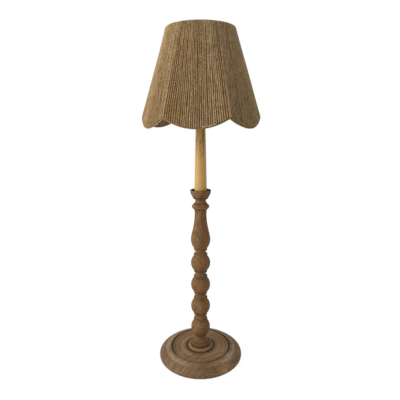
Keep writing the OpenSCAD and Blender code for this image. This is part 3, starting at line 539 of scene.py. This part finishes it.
def twine(name, tones):
    """Twisted natural twine. The UV map holds the turn round the strand and metres along it."""
    f = Finish(name, Specular_IOR_Level=0.15, Sheen_Weight=0.16, Sheen_Roughness=0.5)
    turn, run, _ = f.split(f.node("UVMap", uv_map="twine"))
    tone = f.node("Attribute", out="Fac", attribute_name="tone")
    phase = turn * TWINE_PLIES + run * (TWINE_PLIES / TWINE_TURN)
    ply = (phase * math.tau).math("SINE") * 0.5 + 0.5
    hair = f.noise(f.join(phase * 3, run * 900, turn * 9), detail=3, rough=0.7)
    blot = f.noise(f.place(), 46, 3)
    slub = f.noise(f.join(blot * 6, run * 62, turn * 0.6), detail=3, rough=0.65)
    speck = f.noise(f.join(turn * 2, run * 150, blot * 5), detail=2, rough=0.6)
    long = f.noise(f.join(blot * 2, run * 20, 3.0), detail=1)
    colour = f.mix(tones["dark"], tones["mid"], (ply * 0.35 + hair * 0.45 + 0.35).clamp())
    lit = tone * 0.3 + hair.step(0.45, 0.8) * 0.15 + slub.step(0.5, 0.8) * 0.5
    colour = f.mix(colour, tones["light"], (lit + long.step(0.5, 0.75) * 0.3).clamp())
    thin = slub.step(0.5, 0.27) * 0.55 + speck.step(0.47, 0.33) * 0.45
    colour = f.mix(colour, tones["dark"], thin.clamp())
    colour = f.mix(colour, tones["light"], speck.step(0.56, 0.7) * 0.35)
    dull = long.step(0.5, 0.3) * 0.35 + blot.step(0.5, 0.68) * 0.2
    colour = f.mix(colour, tones["dark"], dull.clamp())
    return f.feed(Base_Color=colour, Roughness=0.85 + hair * 0.12,
                  Normal=f.relief(ply ** 0.6 + hair * 0.5, 0.0003))


def shaded_fibre_mat():
    """Darker mat between the two layers of strands, with a fibre pattern: painted shade that stands in
    for the shaded inner layer seen through the gaps.
    """
    f = Finish("shaded_fibre_mat", Specular_IOR_Level=0.05)
    x, y, z = f.split(f.place())
    turn = x.math("ARCTAN2", y)
    strand = f.noise(f.join(turn * 140, z * 14, 1.0), detail=4, rough=0.7)
    fleck = f.noise(f.join(x * 500, y * 500, z * 300), detail=2)
    pale = (strand.step(0.35, 0.75) + fleck * 0.4 - 0.2).clamp()
    return f.feed(Base_Color=f.mix(srgb(118, 89, 56), srgb(160, 127, 85), pale),
                  Roughness=0.92 + fleck * 0.06, Normal=f.relief(strand + fleck * 0.5, 0.0012))


def dried_glue():
    f = Finish("dried_glue", Specular_IOR_Level=0.4)
    cloud = f.noise(f.place(), 500, 3)
    return f.feed(Base_Color=f.mix(srgb(226, 219, 206), srgb(188, 172, 148), cloud),
                  Roughness=0.45 + cloud * 0.2)


# ---------- fittings ----------


def brass():
    """Brass with darker, duller clouds."""
    f = Finish("brass", Metallic=1.0)
    place = f.place()
    cloud = f.noise(place, 90, 4)
    fine = f.noise(place, 900, 2)
    colour = f.mix(srgb(205, 170, 104), srgb(150, 112, 60), cloud.step(0.42, 0.75))
    return f.feed(Base_Color=colour, Roughness=0.24 + cloud * 0.2 + fine * 0.06,
                  Normal=f.relief(fine, 0.00008))


def bare_metal(name, light, dark, rough, metallic=1.0):
    f = Finish(name, Metallic=metallic)
    place = f.place()
    cloud = f.noise(place, 120, 4)
    fine = f.noise(place, 1100, 2)
    colour = f.mix(srgb(*light), srgb(*dark), cloud.step(0.4, 0.8))
    return f.feed(Base_Color=colour, Roughness=rough + cloud * 0.15,
                  Normal=f.relief(fine, 0.0001))


def moulded(name, light, dark, rough, grain=700, depth=0.00008):
    """Moulded plastic, black glass or card, with a fine skin."""
    f = Finish(name)
    place = f.place()
    cloud = f.noise(place, 150, 3)
    fine = f.noise(place, grain, 3)
    return f.feed(Base_Color=f.mix(srgb(*light), srgb(*dark), cloud),
                  Roughness=rough + fine * 0.12, Normal=f.relief(fine, depth))


def felt():
    f = Finish("felt", Specular_IOR_Level=0.1, Sheen_Weight=0.5, Sheen_Roughness=0.6)
    place = f.place()
    fuzz = f.noise(place, 900, 5, 0.75)
    cloud = f.noise(place, 60, 3)
    colour = f.mix(srgb(52, 48, 44), srgb(84, 78, 71), (fuzz * 0.8 + cloud * 0.3).clamp())
    return f.feed(Base_Color=colour, Roughness=0.93 + fuzz * 0.05,
                  Normal=f.relief(fuzz, 0.0006))


def pressed_board():
    f = Finish("pressed_board", Specular_IOR_Level=0.25)
    place = f.place()
    chips = f.node("TexVoronoi", {"Vector": place, "Scale": 420.0}, out="Distance")
    cloud = f.noise(place, 55, 4)
    colour = f.mix(srgb(118, 88, 58), srgb(88, 63, 41), (chips * 0.8 + cloud * 0.5).clamp())
    return f.feed(Base_Color=colour, Roughness=0.6 + cloud * 0.2,
                  Normal=f.relief(chips, 0.0002))


def clear_glass(name, colour, rough=0.02):
    """Clear glass with a little dust."""
    f = Finish(name, Base_Color=colour, IOR=1.45, Transmission_Weight=1.0)
    dust = f.noise(f.place(), 260, 3)
    return f.feed(Roughness=rough + dust.step(0.6, 0.8) * 0.05)


# ---------- mesh helpers ----------


def around(angle, radius, z):
    """Point at an angle in degrees from the front towards +X."""
    a = math.radians(angle)
    return np.array((radius * math.sin(a), -radius * math.cos(a), z))


def wobble(a, b, c, size):
    """Smooth random value within about size."""
    return noise.noise(Vector((a, b, c))) * size


def unit(vector):
    return vector / np.linalg.norm(vector)


def add_mesh(name, points, faces, body, material, nodes=()):
    mesh = bpy.data.meshes.new(name)
    mesh.from_pydata([tuple(p) for p in points], [], [tuple(q) for q in faces])
    mesh.materials.append(material)
    mesh.shade_smooth()
    piece = bpy.data.objects.new(name, mesh)
    bpy.context.scene.collection.objects.link(piece)
    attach(piece, body)
    if nodes:
        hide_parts(*nodes)
    return piece


def sweep(line, side, radius, sides, closed, lobes=0, lobe_depth=0.0, twist=1.0, wide=1.0):
    """Tube along line. side is a vector across the line at each point. Returns points, faces and
    the UV of each face corner: turn round the tube and metres along it."""
    ahead = np.roll(line, -1, 0) - np.roll(line, 1, 0)
    if not closed:
        ahead[0] = line[1] - line[0]
        ahead[-1] = line[-1] - line[-2]
    ahead /= np.linalg.norm(ahead, axis=1)[:, None]
    first = side - (side * ahead).sum(1)[:, None] * ahead
    first /= np.linalg.norm(first, axis=1)[:, None]
    second = np.cross(ahead, first)
    steps = np.linalg.norm(np.diff(line, axis=0), axis=1)
    run = np.concatenate(([0.0], np.cumsum(steps)))
    theta = np.arange(sides) / sides * math.tau
    ring = radius * (1 + lobe_depth * np.cos(lobes * theta[None, :] - run[:, None] / twist * math.tau))
    points = (line[:, None, :] + (ring * wide * np.cos(theta))[:, :, None] * first[:, None, :]
              + (ring * np.sin(theta))[:, :, None] * second[:, None, :]).reshape(-1, 3)
    count = len(line)
    faces, corners = [], []
    for i in range(count if closed else count - 1):
        n = (i + 1) % count
        far = run[n] if n else run[-1] + np.linalg.norm(line[0] - line[-1])
        for j in range(sides):
            k = (j + 1) % sides
            faces.append((i * sides + j, i * sides + k, n * sides + k, n * sides + j))
            corners += [(j / sides, run[i]), ((j + 1) / sides, run[i]),
                        ((j + 1) / sides, far), (j / sides, far)]
    if not closed:
        for end, turn in ((0, -1), (count - 1, 1)):
            faces.append(tuple(end * sides + j for j in range(sides))[::turn])
            corners += [(j / sides, run[end]) for j in range(sides)]
    return points, faces, corners


def add_cord_maps(piece, corners, tones):
    """UV of a swept cord, and the tone of each point."""
    uv = piece.data.uv_layers.new(name="twine")
    uv.data.foreach_set("uv", np.array(corners, np.float32).ravel())
    attribute = piece.data.attributes.new("tone", "FLOAT", "POINT")
    attribute.data.foreach_set("value", np.array(tones, np.float32))


# ---------- shade ----------


def hem_at(t):
    """Radius and height of the hem wire at t from -1 to 1 across a panel."""
    radius = SCALLOP_R + (HEM_R - SCALLOP_R) * t * t
    return np.array((radius, RING_Z - RIB_DROP - SCALLOP_DROP * (1 - abs(t) ** SCALLOP_POWER)))


def strand_frame(t):
    """Direction down a strand at t and its outward normal, as radius and height."""
    down = unit(hem_at(t) - RING)
    return down, np.array((-down[1], down[0]))


def panel_angle(index, t):
    """Angle of t from -1 to 1 across a panel."""
    return SHADE_TURN + (index + t / 2) * PANEL_ANGLE


def strand_angle(u, radius):
    """Angle from the panel's middle at u from -1 to 1, clear of the ribs."""
    return u * (PANEL_ANGLE / 2 - math.degrees(math.asin(RIB_GAP / radius)))


def hem_place(u):
    """Place t of the hem wire under a strand that ends at u."""
    return strand_angle(u, HEM_R) / (PANEL_ANGLE / 2)


def home_of(k):
    """Where strand k belongs across its panel, from -1 to 1."""
    return PITCH * (k + 0.5) - 1


class Strand:
    """Outer strand k of a panel, its ends, the vectors across it, and the way back up behind it."""

    def __init__(self, rng, index, k):
        self.index, self.k, self.home = index, k, home_of(k)
        self.mid = panel_angle(index, 0)
        self.at_rib = abs(self.home) > 1 - PITCH
        place = self.home * SPREAD
        bunch = wobble(k * 0.55, index * 4.7, 0.5, 0.5)
        top_u = place + (rng.uniform(-TOP_STRAY, TOP_STRAY) + bunch * 0.7) * PITCH
        self.foot_u = place + (rng.uniform(-FOOT_STRAY, FOOT_STRAY) + bunch * 0.2) * PITCH
        if self.at_rib:
            top_u = self.foot_u = math.copysign(1, self.home)
        self.tone = 0.4 if self.at_rib else 0.15 + rng.random() * 0.7
        self.tone += wobble(self.home * 1.3, index * 2.6, 1.7, 1.5)
        self.hem = hem_at(hem_place(self.foot_u))
        self.down, self.out = strand_frame(hem_place(self.foot_u))
        self.head = self.spot(top_u, RING_R, RING, WIND_R * self.out)
        self.foot = self.spot(self.foot_u, HEM_R, self.hem, WIND_R * self.out)
        outwards = around(self.mid + strand_angle(self.foot_u, HEM_R), 1, 0)
        self.east = unit(np.cross(self.foot - self.head, outwards))
        self.face = unit(np.cross(self.east, self.foot - self.head))
        if self.face @ around(self.mid, 1, 0) < 0:
            self.face = -self.face
        self.next_u = home_of(min(k + 1, STRANDS - 1)) * SPREAD
        self.back_u = (place + self.next_u) / 2
        self.hem_back = hem_at(hem_place(self.back_u))

    def spot(self, u, radius, flat, out):
        """Point at u, flat = (radius, height), moved by out = (radius, height)."""
        return around(self.mid + strand_angle(u, radius), *(flat + out))

    def turned(self, phi):
        """Offset on the way round a wire, phi from the outer side through the lower one."""
        return WIND_R * (math.cos(phi) * self.out + math.sin(phi) * self.down)

    def outer_run(self):
        """Points and tones down the outer side."""
        edge = 1 - abs(self.home) ** 8
        for i in range(OUTER_STEPS):
            v = i / (OUTER_STEPS - 1)
            free = min(1, 4 * v, 5 * (1 - v))
            sway = sum(wobble(self.k * by_strand, v * down, self.index * by_panel, size)
                       for by_strand, down, by_panel, size in SWAYS)
            swell = wobble(self.k * 1.7, v * 3.1, 9.7 + self.index, SWELL)
            point = self.head + (self.foot - self.head) * v
            point = point + self.east * sway * free * edge + self.face * swell * free
            # rib strands paler towards the hem: painted highlight along the crease
            yield point, self.tone + panel_shading(self.index, self.home, v) + self.at_rib * v * v * 0.7

    def hem_bend(self):
        """Points and tones under the hem wire."""
        for i in range(1, BEND_STEPS):
            share = i / BEND_STEPS
            u = self.foot_u + (self.back_u - self.foot_u) * share
            flat = self.hem + (self.hem_back - self.hem) * share
            yield self.spot(u, HEM_R, flat, self.turned(math.pi * i / BEND_STEPS)), self.tone

    def inner_run(self):
        """Points and tones up the inner side, painted paler near the hem, where they can be seen: painted
        light inside the shade.
        """
        low = self.spot(self.back_u, HEM_R, self.hem_back, -WIND_R * self.out)
        high = self.spot(self.back_u, RING_R, RING, -WIND_R * self.out)
        for i in range(INNER_STEPS):
            v = i / (INNER_STEPS - 1)
            sway = wobble(self.k * 1.9, v * 3, 20 + self.index, INNER_SWAY)
            point = low + (high - low) * v + self.east * sway * min(1, 4 * v, 4 * (1 - v))
            # paler near the hem: painted light
            yield point, self.tone + max(0, 1 - 3 * v) * 2

    def ring_bend(self):
        """Points and tones over the top ring, to the next strand's place."""
        for i in range(1, BEND_STEPS):
            u = self.back_u + (self.next_u - self.back_u) * i / BEND_STEPS
            yield self.spot(u, RING_R, RING, -self.turned(math.pi * i / BEND_STEPS)), self.tone


def panel_shading(index, u, v):
    """Paler or darker twine at u across a panel and v down it, mostly painted light and shade. Panel 0 is
    the front one.
    """
    def hill(centre, width):
        return math.exp(-((u - centre) / width) ** 2)
    tone = PANEL_SHADING[index]
    if index == 0:
        tone += hill(0.4, 0.3) * 0.9 - hill(0.95, 0.25) * (1 - v) * 1.1 - hill(-0.1, 0.3) * (0.85 - v)
        tone += (hill(0.85, 0.3) * 0.9 + 0.25) * v * v
    elif index == 1:
        tone += hill(-1, 0.4) * 0.6
    elif index == PANELS - 1:
        tone += (1 - v) * 0.5
    return tone


def wind_panel(index, material):
    """Twine wound over the ring and under the hem wire as one unbroken tube."""
    rng = random.Random(40 + index)
    line, across, tones = [], [], []
    for k in range(STRANDS):
        strand = Strand(rng, index, k)
        runs = [strand.outer_run, strand.hem_bend]
        if k < STRANDS - 1:
            runs += [strand.inner_run, strand.ring_bend]
        for run in runs:
            for point, tone in run():
                line.append(point)
                across.append(strand.east)
                tones.append(tone)
    points, faces, corners = sweep(np.array(line), np.array(across), TWINE_D / 2, TWINE_SIDES,
                                   closed=False, wide=TWINE_WIDE)
    name = "twine_panel_%d" % (index + 1)
    piece = add_mesh(name + "_winding", points, faces, "shade", material, [name])
    add_cord_maps(piece, corners, np.repeat(tones, TWINE_SIDES))


def mat_point(index, i, j, side):
    """Point of a panel's mat in column i and row j, on its outer (1) or inner (-1) face."""
    t = i / MAT_ACROSS * 2 - 1
    down, out = strand_frame(t)
    foot = hem_at(t) + down * TRIM_DROP * MAT_REACH
    lift = MAT_HALF * side + wobble(i * 0.7, j * 0.5, index, MAT_WAVE) + MAT_OUT
    return around(panel_angle(index, t), *(RING + (foot - RING) * j / MAT_DOWN + out * lift))


def mat_panel(index, material):
    """Thin mat from rib to rib, between the layers of strands, ring to trim cord: a sheet of painted
    shade behind the gaps.
    """
    row = MAT_ACROSS + 1
    back = row * (MAT_DOWN + 1)
    points = [mat_point(index, i, j, side)
              for side in (1, -1) for j in range(MAT_DOWN + 1) for i in range(row)]
    faces = []
    for j in range(MAT_DOWN):
        for i in range(MAT_ACROSS):
            a = j * row + i
            faces.append((a, a + row, a + row + 1, a + 1))
            faces.append((back + a, back + a + 1, back + a + row + 1, back + a + row))
    rim = list(range(MAT_ACROSS)) + [j * row + MAT_ACROSS for j in range(MAT_DOWN)]
    rim += [MAT_DOWN * row + i for i in range(MAT_ACROSS, 0, -1)]
    rim += [j * row for j in range(MAT_DOWN, 0, -1)]
    for n, a in enumerate(rim):
        b = rim[(n + 1) % len(rim)]
        faces.append((a, b, back + b, back + a))
    add_mesh("twine_panel_%d_mat" % (index + 1), points, faces, "shade", material)


def lay_trim(material):
    """Thicker cord of three plies along the whole hem."""
    line, across = [], []
    for index in range(PANELS):
        for i in range(TRIM_STEPS):
            t = i / TRIM_STEPS * 2 - 1
            down, out = strand_frame(t)
            radius, z = hem_at(t) + down * (TRIM_DROP - TRIM_LIFT)
            angle = panel_angle(index, t)
            line.append(around(angle, radius, z))
            across.append(around(angle, out[0], out[1]))
    points, faces, corners = sweep(np.array(line), np.array(across), TRIM_LAID_R, TRIM_SIDES,
                                   closed=True, lobes=TRIM_PLIES, lobe_depth=TRIM_PLY_DEPTH,
                                   twist=TRIM_TURN)
    piece = add_mesh("hem_trim_cord", points, faces, "shade", material, ["hem_trim"])
    rng = random.Random(5)
    add_cord_maps(piece, corners, np.repeat([rng.uniform(0.3, 0.9) for _ in line], TRIM_SIDES))


def add_blob(points, faces, centre, size, squash, seed):
    """Lumpy ball, squashed by a share along each axis."""
    first = len(points)
    points.append(centre + (0, 0, size * squash[2]))
    for i in range(1, BLOB_RINGS):
        polar = math.pi * i / BLOB_RINGS
        for j in range(BLOB_STEPS):
            turn = math.tau * j / BLOB_STEPS
            lump = size * (1 + wobble(seed * 3.1, i * 0.9, j * 0.8, 0.22))
            points.append(centre + lump * np.array((
                math.sin(polar) * math.cos(turn) * squash[0],
                math.sin(polar) * math.sin(turn) * squash[1], math.cos(polar) * squash[2])))
    points.append(centre - (0, 0, size * squash[2]))
    last = len(points) - 1
    for j in range(BLOB_STEPS):
        k = (j + 1) % BLOB_STEPS
        faces.append((first, first + 1 + j, first + 1 + k))
        faces.append((last, last - BLOB_STEPS + k, last - BLOB_STEPS + j))
        for i in range(BLOB_RINGS - 2):
            a = first + 1 + i * BLOB_STEPS
            faces.append((a + j, a + BLOB_STEPS + j, a + BLOB_STEPS + k, a + k))


def dab_glue(material):
    """Specks of dried glue between the twine and the trim cord of the front scallop."""
    rng = random.Random(11)
    points, faces = [], []
    for n in range(SPECKS):
        t = SPECKS_FROM + SPECKS_SPAN * (n + rng.uniform(-0.3, 0.3)) / (SPECKS - 1)
        down, out = strand_frame(t)
        radius, z = hem_at(t) + down * rng.uniform(0.0010, 0.0032) + out * SPECK_OUT
        size = rng.uniform(0.0012, 0.0025)
        squash = (rng.uniform(0.9, 1.9), rng.uniform(0.5, 0.8), rng.uniform(0.6, 1.0))
        add_blob(points, faces, around(panel_angle(0, t), radius, z), size, squash, n)
    add_mesh("glue_specks", points, faces, "shade", material)


# ---------- finishes of the pieces ----------


def dress_nodes(finishes, own):
    """Give each CAD node its own finish, or else its slot's."""
    for row in frame["record"]["subparts"]:
        node = frame["nodes"][row["node"]]
        node.data.materials.clear()
        node.data.materials.append(own.get(row["node"], finishes[row["material_slot"]]))
        node.data.shade_smooth()
        node.data.set_sharp_from_angle(angle=math.radians(32))


panel_twine = twine("panel_twine", TWINE_TONES)
trim_twine = twine("trim_twine", TRIM_TONES)
dress_nodes({
    "wood": turned_wood(),
    "candle": candle_wax(),
    "twine": panel_twine,
    "trim_cord": trim_twine,
    "frame_wire": bare_metal("frame_wire", (96, 88, 78), (66, 60, 53), 0.55, 0.3),
    "brass": brass(),
    "steel": bare_metal("zinc_steel", (186, 186, 182), (138, 138, 134), 0.32),
    "iron": bare_metal("cast_iron", (74, 72, 70), (48, 46, 44), 0.62, 0.7),
    "felt": felt(),
    "hardboard": pressed_board(),
    "black_plastic": moulded("black_plastic", (34, 33, 32), (24, 23, 23), 0.3),
    "ivory_plastic": moulded("ivory_plastic", (226, 219, 198), (212, 203, 180), 0.35),
    "lead_sheath": moulded("lead_sheath", (216, 213, 204), (196, 192, 182), 0.5),
    "phenolic": moulded("phenolic", (92, 48, 28), (66, 33, 20), 0.35),
    "liner": moulded("card_liner", (184, 158, 122), (160, 134, 100), 0.8, 260, 0.0003),
    "glass": clear_glass("bulb_glass", (0.98, 0.97, 0.94, 1)),
    "lamp_cap": bare_metal("lamp_cap", (206, 204, 198), (168, 166, 160), 0.28),
    "black_glass": moulded("black_glass", (26, 26, 30), (16, 16, 18), 0.15),
    "mount_glass": clear_glass("mount_glass", (0.96, 0.94, 0.88, 1), 0.08),
}, own={"base_disc": base_wood()})

shade_mat_finish = shaded_fibre_mat()
for panel in range(PANELS):
    wind_panel(panel, panel_twine)
    mat_panel(panel, shade_mat_finish)
lay_trim(trim_twine)
dab_glue(dried_glue())

# ---------- floor, light and camera ----------


def lay_floor():
    """Pale floor that looks white to the camera and keeps a faint shadow near the lamp."""
    half = FLOOR_HALF
    mesh = bpy.data.meshes.new("floor")
    mesh.from_pydata([(-half, -half, 0), (half, -half, 0), (half, half, 0), (-half, half, 0)],
                     [], [(0, 1, 2, 3)])
    floor = bpy.data.objects.new("floor", mesh)
    floor.location.z = FLOOR_Z
    bpy.context.scene.collection.objects.link(floor)
    f = Finish("pale_floor", Base_Color=(0.8, 0.8, 0.8, 1), Roughness=0.9, Specular_IOR_Level=0.1)
    path = f.node("LightPath").socket.node
    seen = Val(f, path.outputs["Is Camera Ray"]) + Val(f, path.outputs["Is Glossy Ray"])
    seen = (seen + Val(f, path.outputs["Is Transmission Ray"])).clamp()
    glow = f.node("Emission", {"Color": (1, 1, 1, 1), "Strength": 1.06})
    x, y, _ = f.split(f.place())
    far = (x * x + y * y).math("SQRT").step(*FLOOR_FADE)
    white = seen * (0.9 + far * 0.1)
    both = f.node("MixShader", {0: white, 1: Val(f, f.surface.outputs[0]), 2: glow})
    f.tree.links.new(both.socket, f.tree.nodes["Material Output"].inputs["Surface"])
    mesh.materials.append(f.material)


def light_world(level):
    """White world that lights the lamp at a level and looks white in the view and in gloss."""
    world = bpy.data.worlds.new("studio")
    bpy.context.scene.world = world
    world.use_nodes = True
    tree = world.node_tree
    tree.nodes.clear()
    path = tree.nodes.new("ShaderNodeLightPath")
    output = tree.nodes.new("ShaderNodeOutputWorld")
    mix = tree.nodes.new("ShaderNodeMixShader")
    total = path.outputs["Is Camera Ray"]
    for name in ("Is Glossy Ray", "Is Transmission Ray"):
        larger = tree.nodes.new("ShaderNodeMath")
        larger.operation = "MAXIMUM"
        tree.links.new(total, larger.inputs[0])
        tree.links.new(path.outputs[name], larger.inputs[1])
        total = larger.outputs[0]
    tree.links.new(total, mix.inputs[0])
    for socket, strength in ((1, level), (2, 1.0)):
        ground = tree.nodes.new("ShaderNodeBackground")
        ground.inputs["Color"].default_value = (1, 1, 1, 1)
        ground.inputs["Strength"].default_value = strength
        tree.links.new(ground.outputs[0], mix.inputs[socket])
    tree.links.new(mix.outputs[0], output.inputs["Surface"])


def add_softbox(name, azimuth, elevation, distance, size, power):
    """Square area lamp at azimuth degrees from the front towards +X, aimed at the axis."""
    a, e = math.radians(azimuth), math.radians(elevation)
    lamp = bpy.data.lights.new(name, "AREA")
    lamp.energy, lamp.size = power, size
    holder = bpy.data.objects.new(name, lamp)
    away = Vector((math.sin(a) * math.cos(e), -math.cos(a) * math.cos(e), math.sin(e)))
    holder.location = Vector((0, 0, AIM_Z)) + away * distance
    holder.rotation_euler = away.to_track_quat("Z", "Y").to_euler()
    bpy.context.scene.collection.objects.link(holder)


def set_camera():
    """The photograph's view."""
    data = bpy.data.cameras.new("photo_view")
    data.sensor_width = SENSOR
    data.lens = FOCAL / PICTURE * SENSOR
    data.shift_x = (PICTURE / 2 - CENTRE_X) / PICTURE
    data.shift_y = (CENTRE_Y - PICTURE / 2) / PICTURE
    camera = bpy.data.objects.new("photo_view", data)
    camera.location = CAMERA_AT
    camera.rotation_euler = (math.radians(90 - CAMERA_DOWN), 0, 0)
    bpy.context.scene.collection.objects.link(camera)
    bpy.context.scene.camera = camera


set_camera()
lay_floor()
light_world(WORLD_LEVEL)
add_softbox("key", azimuth=-66, elevation=24, distance=3.2, size=3.2, power=93)
add_softbox("fill", azimuth=80, elevation=15, distance=3.5, size=2.4, power=14)
bpy.context.scene.view_settings.view_transform = "Standard"
